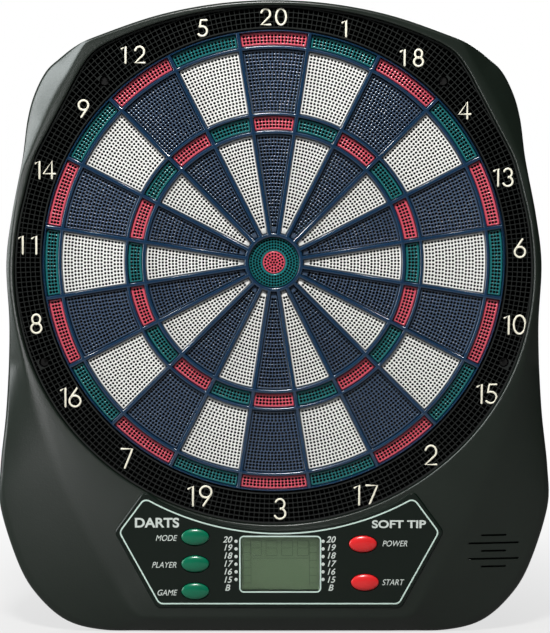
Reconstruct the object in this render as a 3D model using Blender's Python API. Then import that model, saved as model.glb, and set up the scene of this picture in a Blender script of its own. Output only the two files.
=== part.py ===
"""Electronic soft-tip dartboard, modelled as the pieces that it comes apart into.

The bull axis is the Y axis. +X is right seen from the front, +Z is up, and the front faces -Y.
The wall plane is y = 0. A point's depth is its height off the wall, so y = -depth.
Sizes are in millimetres here, and turned into metres where a mesh is made.
"""

import math

import bmesh
import bpy
from mathutils import Vector

for thing in list(bpy.data.objects):
    bpy.data.objects.remove(thing, do_unlink=True)

MM = 0.001
GAP = 0.3  # between two pieces that touch

# Target: the scoring field is 15.5 inches across, measured over the outer wall of the spider.
TARGET_RADIUS = 197.0
SECTOR_NUMBERS = (20, 1, 18, 4, 13, 6, 10, 15, 2, 17, 3, 19, 7, 16, 8, 11, 14, 9, 12, 5)
SECTOR_STEP = 360 / len(SECTOR_NUMBERS)
RING_WALLS = ((21.7, 25.2), (109.2, 112.6), (124.8, 127.6), (181.0, 184.0), (195.6, TARGET_RADIUS))
DIVIDER_HALF = 1.6
CELL_CLEARANCE = 0.5
ARC_TURN = 3.0  # the two middle stations of a sector stand this many degrees off its centre line
BULL_RADIUS, BULL_SPLIT, INNER_BULL_RADIUS = 21.2, 9.9, 9.4

# Depths off the wall, from the back to the front.
COVER_FRONT = 2.5
RIB_FRONT = 4.7
BOARD_BACK, BOARD_FRONT = 5.0, 8.0
MAT_FRONT = 10.0
MEMBRANE_FRONT = 10.9
CARRIER_BACK, CARRIER_FRONT = 12.4, 13.8
SPIDER_BACK, SEGMENT_FRONT, SPIDER_FRONT = 14.2, 25.0, 28.0
LEDGE_BACK, LEDGE_FRONT = 14.1, 16.6
CATCH_BACK, CATCH_FRONT = 17.0, 26.5
FACE, WALL = 30.0, 2.5
SKIRT_BACK = 0.6
PANEL_BACK, PANEL_FRONT = FACE + GAP, FACE + 1.5

# Housing outlines, right half from the top down, as (x, z).
STATIONS = 96
TOP_ARC_RADIUS, TOP_ARC_CENTRE = 386.0, -164.0
OPENING_RADIUS, OPENING_SAG, OPENING_TOP, OPENING_TOP_ARC = 219.8, 6.0, 217.6, 330.0
SILHOUETTE = (
    (168, 183.5), (181.5, 173.8), (193.8, 162.6), (204, 143), (210, 121), (214.3, 85), (223.3, 39.4),
    (228.4, 0), (226.6, -50), (228.5, -95), (231.3, -133.5), (236.4, -178), (236.6, -213), (221, -263.6),
    (204, -291.4), (180, -312), (149.3, -320), (110, -320.4), (55, -320.4), (0, -320.4),
)
PLATFORM = (
    (156.5, 187), (162, 182), (171.5, 165.5), (190.3, 131.7), (206, 96), (215, 72), (220.5, 40), (224, 10),
    (224.5, -20), (219.5, -57), (209, -105), (191.5, -157.5), (173, -205.5), (139, -271), (121, -303),
    (102, -307.5), (70, -307.5), (35, -307.5), (0, -307.5),
)
OPENING = ((148, 181.9), (156.4, 174.4), (164.8, 162.2), (172.8, 147.5), (189.7, 115.7), (203, 90), (209.5, 69))
LEDGE_RADIUS = 204.0

# Control panel, its window and its buttons, as (x, z).
PANEL_CENTRE_X, PANEL_TOP_RADIUS = 4.3, 229.6
PANEL_SIDE, PANEL_FOOT, PANEL_ROUND = (141.2, -232), (105.2, -297.6), 7.0
WINDOW_CENTRE, WINDOW_SIZE = (5.4, -259.6), (68.0, 47.0)
BUTTON_HALF = (11.85, 7.15)
BUTTONS = {
    "button_mode": (-67.8, -235.9), "button_player": (-67.8, -259.3), "button_game": (-67.8, -283.1),
    "button_power": (76.5, -242.0), "button_start": (78.3, -275.5),
}

# Sound, power and fixings.
SPEAKER = (189.5, -249.0)
SLOT_PITCH, SLOT_HEIGHT, SLOT_LENGTHS = 6.9, 1.7, (22, 44.5, 22, 44.5, 22)
BAY_CENTRE_Z, BAY_HALF, BAY_CEILING, BAY_WALL = -266.0, (32.0, 24.2), 17.7, 1.6
CELL_RADIUS, CELL_LENGTH, CELL_PITCH, CELL_DEPTH = 7.1, 50.0, 14.8, 10.2
HINGE_Z, HINGE_DEPTH, PIN_RADIUS = BAY_CENTRE_Z + 22.6, 1.2, 1.2
CASE_SCREWS = ((184.5, 155), (208, -130), (166, -292))
RING_SCREWS = ((43.0, 210.6), (113.5, 214.8), (246.5, 214.8), (317.0, 210.6))  # (turn, radius)
KEYHOLE = (150.0, 160.0)
COVER_GROOVES = (104.0, 176.0)
LABEL_CENTRE, LABEL_HALF = (0.0, -205.0), (42.0, 15.0)

FINISHES = {  # colour, roughness, metallic
    "housing_plastic": ((0.014, 0.018, 0.014), 0.4, 0.0),
    "catch_ring_plastic": ((0.008, 0.008, 0.008), 0.5, 0.0),
    "spider_plastic": ((0.02, 0.045, 0.11), 0.35, 0.0),
    "segment_navy": ((0.022, 0.038, 0.08), 0.45, 0.0),
    "segment_white": ((0.78, 0.8, 0.78), 0.45, 0.0),
    "segment_red": ((0.55, 0.04, 0.07), 0.45, 0.0),
    "segment_green": ((0.02, 0.16, 0.15), 0.45, 0.0),
    "panel_overlay": ((0.012, 0.016, 0.013), 0.3, 0.0),
    "button_green": ((0.0, 0.22, 0.1), 0.3, 0.0),
    "button_red": ((0.7, 0.03, 0.04), 0.3, 0.0),
    "lens_clear": ((0.35, 0.4, 0.34), 0.1, 0.0),
    "lcd_glass": ((0.16, 0.21, 0.16), 0.3, 0.0),
    "circuit_board": ((0.02, 0.16, 0.06), 0.5, 0.0),
    "rubber_mat": ((0.05, 0.05, 0.055), 0.8, 0.0),
    "membrane_film": ((0.55, 0.56, 0.5), 0.35, 0.0),
    "hardboard": ((0.2, 0.11, 0.05), 0.8, 0.0),
    "battery_jacket": ((0.1, 0.1, 0.12), 0.35, 0.2),
    "steel": ((0.5, 0.5, 0.5), 0.3, 1.0),
    "speaker_black": ((0.02, 0.02, 0.02), 0.6, 0.0),
    "wire_insulation": ((0.35, 0.02, 0.02), 0.5, 0.0),
}


# Outlines in the plane of the face.


def on_circle(turn, radius):
    """The point at a turn in degrees, clockwise from the top seen from the front."""
    return radius * math.sin(math.radians(turn)), radius * math.cos(math.radians(turn))


def opening_radius(turn):
    """The opening is a circle at the sides that widens towards the foot of the board."""
    step = min(1.0, max(0.0, (turn - 70) / 60))
    return OPENING_RADIUS + OPENING_SAG * step**2 * (3 - 2 * step)


def arc_top(radius, centre, xs):
    """Points on the shallow arc over the top, whose centre lies below the bull."""
    return [(x, centre + math.sqrt(radius**2 - x**2)) for x in xs]


def smooth_half(points, steps=8):
    """A Catmull-Rom curve through the points of a right half, mirrored at both ends."""
    points = [(-points[1][0], points[1][1]), *points, (-points[-2][0], points[-2][1])]
    curve = []
    for before, start, end, after in zip(points, points[1:], points[2:], points[3:]):
        for step in range(steps):
            t = step / steps
            curve.append(
                tuple(
                    b + t * (c - a + t * (2 * a - 5 * b + 4 * c - d + t * (3 * b - a - 3 * c + d))) / 2
                    for a, b, c, d in zip(before, start, end, after)
                )
            )
    return [*curve, points[-2]]


def radius_at(half, turn):
    """How far a right-half outline is from the bull axis at a turn in degrees."""
    turn = turn % 360
    turn = min(turn, 360 - turn)
    direction = Vector(on_circle(turn, 1.0))
    for start, end in zip(half, half[1:]):
        start, end = Vector(start), Vector(end)
        side_start, side_end = direction.cross(start), direction.cross(end)
        if side_start >= -1e-9 and side_end <= 1e-9 and side_start != side_end:
            return start.lerp(end, side_start / (side_start - side_end)).dot(direction)
    return Vector(half[-1]).length


def rounded(corners, radius, steps=3):
    """A polygon whose corners are rounded by arcs of one radius."""
    outline = []
    for before, corner, after in zip(corners[-1:] + corners[:-1], corners, corners[1:] + corners[:1]):
        back = (Vector(before) - Vector(corner)).normalized()
        ahead = (Vector(after) - Vector(corner)).normalized()
        half = back.angle(ahead) / 2
        centre = Vector(corner) + (back + ahead).normalized() * radius / math.sin(half)
        start = (Vector(corner) + back * radius / math.tan(half) - centre).normalized()
        end = (Vector(corner) + ahead * radius / math.tan(half) - centre).normalized()
        outline += [tuple(centre + start.slerp(end, step / steps) * radius) for step in range(steps + 1)]
    return outline


def rectangle(centre, half):
    (x, z), (a, b) = centre, half
    return [(x - a, z - b), (x + a, z - b), (x + a, z + b), (x - a, z + b)]


def ellipse(centre, half, sides):
    turns = [2 * math.pi * i / sides for i in range(sides)]
    return [(centre[0] + half[0] * math.cos(t), centre[1] + half[1] * math.sin(t)) for t in turns]


def mirrored(places):
    return [(side * x, z) for x, z in places for side in (1, -1)]


# Shapes: points as (x, depth, z) and faces.


def loft(loops, closed=False):
    """A solid through loops of equal length: a closed ring of loops, or one capped at both ends."""
    count = len(loops[0])
    points = [point for loop in loops for point in loop]
    faces = []
    for row in range(len(loops) - (0 if closed else 1)):
        a, b = row * count, (row + 1) % len(loops) * count
        faces += [(a + i, a + (i + 1) % count, b + (i + 1) % count, b + i) for i in range(count)]
    if not closed:
        faces += [tuple(range(count)), tuple(range(len(points) - count, len(points)))]
    return points, faces


def at_depth(outline, depth):
    return [(x, depth, z) for x, z in outline]


def prism(outline, back, front):
    return loft([at_depth(outline, back), at_depth(outline, front)])


def turned(profile, centre=(0, 0), sides=12, closed=False):
    """A profile of (radius, depth) turned about an axis along Y."""
    loops = [at_depth(ellipse(centre, (radius, radius), sides), depth) for radius, depth in profile]
    return loft(loops, closed)


def rod(centre, radius, half_length, sides=16):
    """A round rod along X."""
    x, depth, z = centre
    circle = ellipse((depth, z), (radius, radius), sides)
    return loft([[(x + end, d, zz) for d, zz in circle] for end in (-half_length, half_length)])


def swept(route, radius, sides=6):
    """A thin tube along a route of (x, depth, z)."""
    route = [Vector(point) for point in route]
    loops = []
    for i, point in enumerate(route):
        along = (route[min(i + 1, len(route) - 1)] - route[max(i - 1, 0)]).normalized()
        across = along.cross(Vector((0.31, 0.83, 0.47))).normalized()
        up = along.cross(across)
        turns = [2 * math.pi * k / sides for k in range(sides)]
        loops.append([tuple(point + radius * (across * math.cos(t) + up * math.sin(t))) for t in turns])
    return loft(loops)


def together(shapes):
    """Several shapes as one."""
    points, faces = [], []
    for more_points, more_faces in shapes:
        faces += [tuple(i + len(points) for i in face) for face in more_faces]
        points += more_points
    return points, faces


# Objects.


def finish(name):
    material = bpy.data.materials.get(name)
    if material is None:
        colour, roughness, metallic = FINISHES[name]
        material = bpy.data.materials.new(name)
        material.use_nodes = True
        shader = material.node_tree.nodes["Principled BSDF"]
        shader.inputs["Base Color"].default_value = (*colour, 1)
        shader.inputs["Roughness"].default_value = roughness
        shader.inputs["Metallic"].default_value = metallic
        material.diffuse_color = (*colour, 1)
    return material


def make_object(name, shape, pivot=(0, 0, 0)):
    """An object whose mesh is the shape, with its origin at the pivot."""
    points, faces = shape
    origin = Vector((pivot[0], -pivot[1], pivot[2])) * MM
    form = bmesh.new()
    for x, depth, z in points:
        form.verts.new(Vector((x, -depth, z)) * MM - origin)
    form.verts.ensure_lookup_table()
    for face in faces:
        form.faces.new([form.verts[i] for i in face])
    bmesh.ops.recalc_face_normals(form, faces=form.faces)
    mesh = bpy.data.meshes.new(name)
    form.to_mesh(mesh)
    form.free()
    item = bpy.data.objects.new(name, mesh)
    item.location = origin
    bpy.context.scene.collection.objects.link(item)
    return item


def add_node(name, shape, material, pivot=(0, 0, 0)):
    item = make_object(name, shape, pivot)
    item.data.materials.append(finish(material))
    item.data.shade_smooth()
    item.data.set_sharp_from_angle(angle=math.radians(35))
    item.parent = board
    return item


def combine(item, operation, name, shapes):
    """Joins or cuts an object with shapes that are no pieces of their own."""
    tool = make_object(name, together(shapes))
    tool.hide_render = True
    tool.display_type = "WIRE"
    tool.parent = board
    modifier = item.modifiers.new(name, "BOOLEAN")
    modifier.operation = operation
    modifier.solver = "EXACT"
    modifier.object = tool


# Housing.


def housing_section(turn):
    """The section of the housing at one turn, as (radius, depth) from the opening's edge round."""
    edge = radius_at(silhouette, turn)
    crest = min(radius_at(platform, turn), edge - 1.8)
    mouth = radius_at(opening, turn)
    slope = edge - crest
    drop = min(max(0.6 * slope, 1.5), 9.0)
    inner = edge - WALL
    inner_crest = min(crest - 0.5, inner - 0.7)
    lip = min(WALL, inner_crest - mouth - 0.2)
    return (
        (mouth, FACE - 1), (mouth + 1, FACE), (crest, FACE),
        (crest + 0.6 * slope, FACE - 0.62 * drop), (crest + 0.92 * slope, FACE - drop),
        (edge, FACE - drop - 2.5), (edge, SKIRT_BACK), (inner, SKIRT_BACK),
        (inner, FACE - drop - 2.5 - WALL),
        (min(crest + 0.78 * slope, inner - 0.35), FACE - 0.86 * drop - WALL), (inner_crest, FACE - WALL),
        (mouth + lip, FACE - WALL), (mouth + lip, LEDGE_BACK), (LEDGE_RADIUS, LEDGE_BACK),
        (LEDGE_RADIUS, LEDGE_FRONT), (mouth, LEDGE_FRONT),
    )


def face_depth(x, z):
    """Depth of the housing's outer face over a point."""
    section = housing_section(math.degrees(math.atan2(x, z)))[2:6]
    radius = math.hypot(x, z)
    for (r0, d0), (r1, d1) in zip(section, section[1:]):
        if radius <= r1:
            return d0 + (d1 - d0) * max(0, radius - r0) / (r1 - r0)
    return section[-1][1]


def around(section_at):
    """Loops round the bull axis through the points of a section that is given at each turn."""
    turns = [360 * i / STATIONS for i in range(STATIONS)]
    sections = [section_at(turn) for turn in turns]
    loops = []
    for k in range(len(sections[0])):
        circle = [on_circle(turn, section[k][0]) for turn, section in zip(turns, sections)]
        loops.append([(x, section[k][1], z) for (x, z), section in zip(circle, sections)])
    return loops


def ring_screw_places():
    return [on_circle(turn, radius) for turn, radius in RING_SCREWS]


def build_housing():
    housing = add_node("front_housing", loft(around(housing_section), closed=True), "housing_plastic")
    bosses = [
        turned(((3.3, COVER_FRONT + GAP), (3.3, face_depth(*place) - 2)), place)
        for place in mirrored(CASE_SCREWS)
    ]
    bosses += [turned(((3.3, 6), (3.3, 15.5)), place) for place in ring_screw_places()]
    combine(housing, "UNION", "housing_bosses", bosses)
    cuts = [turned(((1.8, 1), (1.8, 14.5)), place, 8) for place in mirrored(CASE_SCREWS)]
    cuts += [turned(((1.8, 5), (1.8, 18)), place, 8) for place in ring_screw_places()]
    half_window = (WINDOW_SIZE[0] / 2, WINDOW_SIZE[1] / 2)
    cuts.append(prism(rectangle(WINDOW_CENTRE, half_window), FACE - 4, FACE + 2))
    cuts += [prism(button_hole(place), FACE - 4, FACE + 2) for place in BUTTONS.values()]
    for row, length in enumerate(SLOT_LENGTHS):
        middle = (SPEAKER[0], SPEAKER[1] + SLOT_PITCH * (2 - row))
        cuts.append(prism(rectangle(middle, (length / 2, SLOT_HEIGHT / 2)), FACE - 14, FACE + 2))
    combine(housing, "DIFFERENCE", "housing_cuts", cuts)


def grown(half, more):
    return half[0] + more, half[1] + more


def button_hole(place):
    return ellipse(place, grown(BUTTON_HALF, 0.5), 16)


def build_catch_ring():
    """The ring round the target that carries the numbers and catches stray darts."""
    def section(turn):
        edge = radius_at(opening, turn) - 0.5
        inside = TARGET_RADIUS + 1.6
        return (inside, CATCH_BACK), (inside, CATCH_FRONT), (edge, CATCH_FRONT), (edge, CATCH_BACK)

    ring = add_node("catch_ring", loft(around(section), closed=True), "catch_ring_plastic")
    well = ((1.8, CATCH_BACK - 2), (1.8, 19.5), (4.4, 19.5), (4.4, FACE))
    wells = [turned(well, place) for place in ring_screw_places()]
    combine(ring, "DIFFERENCE", "catch_ring_wells", wells)


def add_screw(name, place, head, tip, seat):
    """A pan-head screw along Y, from the head's face to its tip."""
    shank, head_radius = 1.4, 3.5
    end = tip + math.copysign(1, seat - tip)
    profile = ((shank - 0.5, tip), (shank, end), (shank, seat), (head_radius, seat), (head_radius, head))
    add_node(name, turned(profile, place, 8), "steel")


# Target.


def sector_turns(centre, radius, side):
    """The turns of a sector's four stations, its sides a fixed distance off the dividers' middle."""
    edge = SECTOR_STEP / 2 - math.degrees(math.asin(side / radius))
    return [centre - edge, centre - ARC_TURN, centre + ARC_TURN, centre + edge]


def build_spider():
    """The web of dividers and ring walls between the segments, with a skirt that stands on the board."""
    radii = [radius for wall in RING_WALLS for radius in wall]
    skirt_inner, skirt_outer, flange_front = 199.2, 203.4, CATCH_BACK - GAP
    rows = []
    for radius in radii:
        turns = [t for k in range(20) for t in sector_turns(k * SECTOR_STEP, radius, DIVIDER_HALF)]
        rows.append([on_circle(turn, radius) for turn in turns])
    columns = len(rows[0])
    scale = skirt_inner / TARGET_RADIUS
    feet = rows[:-1] + [[(x * scale, z * scale) for x, z in rows[-1]]]
    points = [p for row in rows for p in at_depth(row, SPIDER_FRONT)]
    points += [p for row in feet for p in at_depth(row, SPIDER_BACK)]
    back = len(radii) * columns

    def kept(band, column):
        return 0 <= band < len(radii) - 1 and (band % 2 == 0 or column % 4 == 3)

    faces = []
    for band in range(len(radii) - 1):
        for column in range(columns):
            if not kept(band, column):
                continue
            following = (column + 1) % columns
            a, b = band * columns + column, band * columns + following
            c, d = b + columns, a + columns
            faces += [(a, b, c, d), (a + back, b + back, c + back, d + back)]
            sides = (
                (kept(band - 1, column), a, b), (kept(band, following), b, c),
                (kept(band, column - 1), d, a), (band == len(radii) - 2 or kept(band + 1, column), c, d),
            )
            faces += [(p, q, q + back, p + back) for joined, p, q in sides if not joined]
    rim = (len(radii) - 1) * columns
    loops = [list(range(rim, rim + columns))]
    foot = BOARD_FRONT + GAP
    skirt = (
        (TARGET_RADIUS, flange_front), (skirt_outer, flange_front), (skirt_outer, foot), (skirt_inner, foot),
    )
    for radius, depth in skirt:
        scale = radius / TARGET_RADIUS
        loops.append(list(range(len(points), len(points) + columns)))
        points += [(x * scale, depth, z * scale) for x, z in rows[-1]]
    loops.append(list(range(rim + back, rim + back + columns)))
    for outer, inner in zip(loops, loops[1:]):
        for i in range(columns):
            following = (i + 1) % columns
            faces.append((outer[i], outer[following], inner[following], inner[i]))
    spider = add_node("spider", (points, faces), "spider_plastic")
    combine(spider, "DIFFERENCE", "tail_notch", [prism(rectangle((0, -201), (17, 5)), 7, 12)])


def build_sectors():
    """Each number's four segments, moulded on one carrier behind the spider."""
    spans = [(inner[1], outer[0]) for inner, outer in zip(RING_WALLS, RING_WALLS[1:])]
    spans = [(start + CELL_CLEARANCE, end - CELL_CLEARANCE) for start, end in spans]
    teeth = []
    for index, (start, end) in enumerate(spans):
        if index:
            teeth.append((start, CARRIER_FRONT))
        teeth += [(start, SEGMENT_FRONT), (end, SEGMENT_FRONT)]
        if index < len(spans) - 1:
            teeth.append((end, CARRIER_FRONT))
    profile = [(spans[0][0], CARRIER_BACK), *teeth, (spans[-1][1], CARRIER_BACK)]
    for index, number in enumerate(SECTOR_NUMBERS):
        turn = index * SECTOR_STEP
        side = DIVIDER_HALF + CELL_CLEARANCE
        loops = []
        for turns in zip(*[sector_turns(turn, radius, side) for radius, _ in profile]):
            places = [on_circle(t, radius) for t, (radius, _) in zip(turns, profile)]
            loops.append([(x, depth, z) for (x, z), (_, depth) in zip(places, profile)])
        x, z = on_circle(turn, 110)
        colour = "segment_white" if index % 2 else "segment_navy"
        add_node(f"sector_{number}", loft(loops), colour, pivot=(x, CARRIER_BACK, z))


def build_bull():
    step = 16.5
    ring = (
        (BULL_SPLIT, step), (BULL_SPLIT, SEGMENT_FRONT), (BULL_RADIUS, SEGMENT_FRONT),
        (BULL_RADIUS, CARRIER_FRONT), (24.6, CARRIER_FRONT), (24.6, CARRIER_BACK),
        (13.0, CARRIER_BACK), (13.0, step),
    )
    plug = (
        (12.4, CARRIER_BACK), (12.4, 14.4), (INNER_BULL_RADIUS, 14.4), (INNER_BULL_RADIUS, SEGMENT_FRONT),
    )
    add_node("bull_outer", turned(ring, sides=24, closed=True), "segment_green", pivot=(0, CARRIER_BACK, 0))
    add_node("bull_inner", turned(plug, sides=24), "segment_red", pivot=(0, CARRIER_BACK, 0))


def build_layers():
    """What lies behind the segments: switch membrane, damping mat and backing board."""
    for name, radius, back, front, material in (
        ("switch_membrane", 196.0, MAT_FRONT + GAP, MEMBRANE_FRONT, "membrane_film"),
        ("damping_mat", 198.0, BOARD_FRONT + GAP, MAT_FRONT, "rubber_mat"),
        ("backing_board", 203.0, BOARD_BACK, BOARD_FRONT, "hardboard"),
    ):
        add_node(name, turned(((radius, back), (radius, front)), sides=48), material)
    thick = 0.3
    route = ((-196.4, 10.45), (-214, 10.45), (-224, 11.4), (-230, 14.5), (-234, 19.0))
    strip = [*route, *((z, depth + thick) for z, depth in reversed(route))]
    add_node("membrane_tail", loft([[(x, d, z) for z, d in strip] for x in (-15, 15)]), "membrane_film")


# Control panel.


def panel_outline():
    """The raised panel: an arc round the target on top, and three rounded sides under it."""
    arc = [on_circle(turn, PANEL_TOP_RADIUS) for turn in range(150, 211, 6)]
    right = rounded([arc[0], PANEL_SIDE, PANEL_FOOT, (0, PANEL_FOOT[1])], PANEL_ROUND)[4:-4]
    left = [(-x, z) for x, z in reversed(right)]
    return [(x + PANEL_CENTRE_X, z) for x, z in [arc[0], *right, *left, *reversed(arc[1:])]]


def build_panel():
    outline = panel_outline()
    overlay = add_node("control_overlay", prism(outline, PANEL_BACK, PANEL_FRONT), "panel_overlay")
    half_window = (WINDOW_SIZE[0] / 2, WINDOW_SIZE[1] / 2)
    cuts = [prism(rectangle(WINDOW_CENTRE, half_window), FACE - 2, FACE + 4)]
    cuts += [prism(button_hole(place), FACE - 2, FACE + 4) for place in BUTTONS.values()]
    combine(overlay, "DIFFERENCE", "overlay_cuts", cuts)
    lens = rounded(rectangle(WINDOW_CENTRE, grown(half_window, -0.4)), 3)
    add_node("lcd_lens", prism(lens, FACE - WALL + 0.4, PANEL_FRONT - 0.3), "lens_clear")
    glass = rectangle(WINDOW_CENTRE, grown(half_window, -0.6))
    add_node("lcd_module", prism(glass, 23.0, FACE - WALL + 0.1), "lcd_glass")
    add_node("keypad_mat", prism(rounded(rectangle((5, -263), (98, 28.5)), 4), 21.5, 22.7), "rubber_mat")
    add_node("main_board", prism(rectangle((5, -263), (100, 30.5)), 19.6, 21.2), "circuit_board")
    for name, place in BUTTONS.items():
        loops = []
        for more, depth in ((1.2, 25.2), (1.2, 26.9), (0, 26.9), (0, 32), (-2, 33.5), (-5, 34.2)):
            loops.append(at_depth(ellipse(place, grown(BUTTON_HALF, more), 16), depth))
        colour = "button_red" if place[0] > 0 else "button_green"
        add_node(name, loft(loops), colour, pivot=(place[0], 25.2, place[1]))


# Back, power and sound.


def keyhole(x, z):
    """A round entry for a screw's head, with a narrow slot above it for the shank."""
    entry, slot, top = 4.8, 2.3, 10.5
    start = math.asin(slot / entry)
    turns = [start + (2 * math.pi - 2 * start) * i / 14 for i in range(15)]
    outline = [(x + entry * math.sin(t), z + entry * math.cos(t)) for t in turns]
    shoulder = z + top - 1.5
    return [*outline, (x - slot, shoulder), (x - 1, z + top), (x + 1, z + top), (x + slot, shoulder)]


def groove_section(radius):
    """The section of a shallow round groove in the back of the cover."""
    return (radius - 2.2, -1), (radius + 2.2, -1), (radius + 1.5, 1), (radius - 1.5, 1)


def build_rear_cover():
    turns = [360 * i / STATIONS for i in range(STATIONS)]
    outline = [on_circle(turn, radius_at(silhouette, turn) - WALL - 0.6) for turn in turns]
    cover = add_node("rear_cover", prism(outline, 0, COVER_FRONT), "housing_plastic")
    bay = rectangle((0, BAY_CENTRE_Z), grown(BAY_HALF, BAY_WALL))
    added = [prism(bay, 1, BAY_CEILING + BAY_WALL), turned(((8, 1), (8, 11.1)), SPEAKER)]
    added += [prism(rectangle((x, 0), (1.5, 150)), 1, RIB_FRONT) for x in (-120, -60, 60, 120)]
    combine(cover, "UNION", "cover_ribs", added)
    cuts = [prism(rectangle((0, BAY_CENTRE_Z), BAY_HALF), -1, BAY_CEILING)]
    for place in mirrored(CASE_SCREWS):
        cuts.append(turned(((4, -1), (4, 1.4), (1.8, 1.4), (1.8, 4)), place, 12))
    cuts += [prism(keyhole(x, z), -1, 4) for x, z in mirrored([KEYHOLE])]
    cuts += [turned(groove_section(radius), sides=72, closed=True) for radius in COVER_GROOVES]
    for side in (-1, 1):
        for row in range(-2, 3):
            vent = (SPEAKER[0] + 15 * side, SPEAKER[1] + 5 * row)
            cuts.append(prism(rectangle(vent, (4.5, 0.9)), -1, 4))
    cuts.append(prism(rectangle(LABEL_CENTRE, LABEL_HALF), -1, 0.4))
    combine(cover, "DIFFERENCE", "cover_cuts", cuts)
    hinge = rod((0, HINGE_DEPTH, HINGE_Z), PIN_RADIUS + 0.4, BAY_HALF[0] + 1.3, 12)
    combine(cover, "DIFFERENCE", "hinge_seat", [hinge])


def build_battery_bay():
    door_half = BAY_HALF[0] - 0.5
    bottom = BAY_CENTRE_Z - BAY_HALF[1] + 0.5
    outline = [(-door_half, bottom), (door_half, bottom), (door_half, HINGE_Z), (-door_half, HINGE_Z)]
    door = add_node("battery_door", prism(outline, 0, 2), "housing_plastic", pivot=(0, HINGE_DEPTH, HINGE_Z))
    pin = rod((0, HINGE_DEPTH, HINGE_Z), PIN_RADIUS, BAY_HALF[0] + 0.9, 12)
    combine(door, "UNION", "door_pin", [pin])
    grips = [prism(rectangle((0, bottom + 6 + 3.2 * row), (11, 0.7)), -1, 0.7) for row in range(4)]
    combine(door, "DIFFERENCE", "door_grips", grips)
    for index in range(3):
        z = BAY_CENTRE_Z - 0.6 + CELL_PITCH * (1 - index)
        way = -1 if index % 2 else 1
        middle = -3 * way
        body = rod((middle, CELL_DEPTH, z), CELL_RADIUS, CELL_LENGTH / 2 - 0.7, 16)
        add_node(f"battery_{index + 1}", body, "battery_jacket")
        start, turns, per_turn = middle + way * (CELL_LENGTH / 2 - 0.2), 3, 8
        coil = []
        for k in range(turns * per_turn + 1):
            turn = 2 * math.pi * k / per_turn
            radius = 5.0 - 2.0 * k / (turns * per_turn)
            advance = way * (0.6 + 6.0 * (1 - k / (turns * per_turn)))
            coil.append((start + advance, CELL_DEPTH + radius * math.cos(turn), z + radius * math.sin(turn)))
        add_node(f"battery_spring_{index + 1}", swept(coil, 0.4, 4), "steel")


def build_speaker():
    profile = ((9, 11.4), (9, 14.4), (14, 15.6), (20, 16.8), (20, 18.4), (16.5, 18.4), (6, 16.3))
    add_node("speaker", turned(profile, SPEAKER, 20), "speaker_black")


def build_leads():
    board_right = (105.6, 20.4, -258)
    speaker_route = (
        (178, 13, -249), (160, 12.5, -249), (140, 14, -251), (122, 17, -254), (112, 19.6, -257),
        board_right,
    )
    battery_route = (
        (34.6, 12, -262), (40, 12, -261), (48, 13, -259), (54, 15, -258), (57, 17, -257.5),
        (58, 18.9, -257.5),
    )
    for name, route in (("speaker_lead", speaker_route), ("battery_lead", battery_route)):
        add_node(name, swept(route, 0.8), "wire_insulation")


silhouette = smooth_half(arc_top(TOP_ARC_RADIUS, TOP_ARC_CENTRE, range(0, 160, 50)) + list(SILHOUETTE))
platform = smooth_half(arc_top(TOP_ARC_RADIUS - 2, TOP_ARC_CENTRE, range(0, 150, 48)) + list(PLATFORM))
bottom_arc = [on_circle(turn, opening_radius(turn)) for turn in range(75, 181, 3)]
opening = arc_top(OPENING_TOP_ARC, OPENING_TOP - OPENING_TOP_ARC, range(0, 140, 10))
opening += smooth_half([(140, 186.4), *OPENING, on_circle(74, OPENING_RADIUS)])[8:-8] + bottom_arc

board = bpy.data.objects.new("dartboard", None)
bpy.context.scene.collection.objects.link(board)
build_housing()
build_catch_ring()
build_spider()
build_sectors()
build_bull()
build_layers()
build_panel()
build_rear_cover()
build_battery_bay()
build_speaker()
build_leads()
for index, place in enumerate(mirrored(CASE_SCREWS)):
    add_screw(f"case_screw_{index + 1}", place, 0.2, 12, 1.1)
for index, place in enumerate(ring_screw_places()):
    add_screw(f"ring_screw_{index + 1}", place, 22, 8, 19.8)
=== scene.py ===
"""The looks of the electronic dartboard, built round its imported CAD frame.

Sizes are in millimetres and turned into metres where a mesh is made. A point is (x, depth, z), where
depth is its height off the wall, so y = -depth. Turns are in degrees, clockwise from the top.
"""

import math

import bmesh
import bpy
from mathutils import Matrix, Vector


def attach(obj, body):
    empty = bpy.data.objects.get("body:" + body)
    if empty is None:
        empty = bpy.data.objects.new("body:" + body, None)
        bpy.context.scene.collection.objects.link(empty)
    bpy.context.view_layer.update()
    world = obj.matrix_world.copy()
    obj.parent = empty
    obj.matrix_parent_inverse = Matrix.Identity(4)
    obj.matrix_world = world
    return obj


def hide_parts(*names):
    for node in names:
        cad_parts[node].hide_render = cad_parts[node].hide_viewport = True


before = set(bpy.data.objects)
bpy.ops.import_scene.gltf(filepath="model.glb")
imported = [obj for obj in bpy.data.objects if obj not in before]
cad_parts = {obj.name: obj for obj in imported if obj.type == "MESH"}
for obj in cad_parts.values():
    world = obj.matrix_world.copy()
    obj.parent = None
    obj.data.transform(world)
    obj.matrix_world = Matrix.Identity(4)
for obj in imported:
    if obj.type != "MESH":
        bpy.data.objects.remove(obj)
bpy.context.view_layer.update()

MM = 0.001
NUMBERS = (20, 1, 18, 4, 13, 6, 10, 15, 2, 17, 3, 19, 7, 16, 8, 11, 14, 9, 12, 5)
STEP = 360 / len(NUMBERS)

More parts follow.
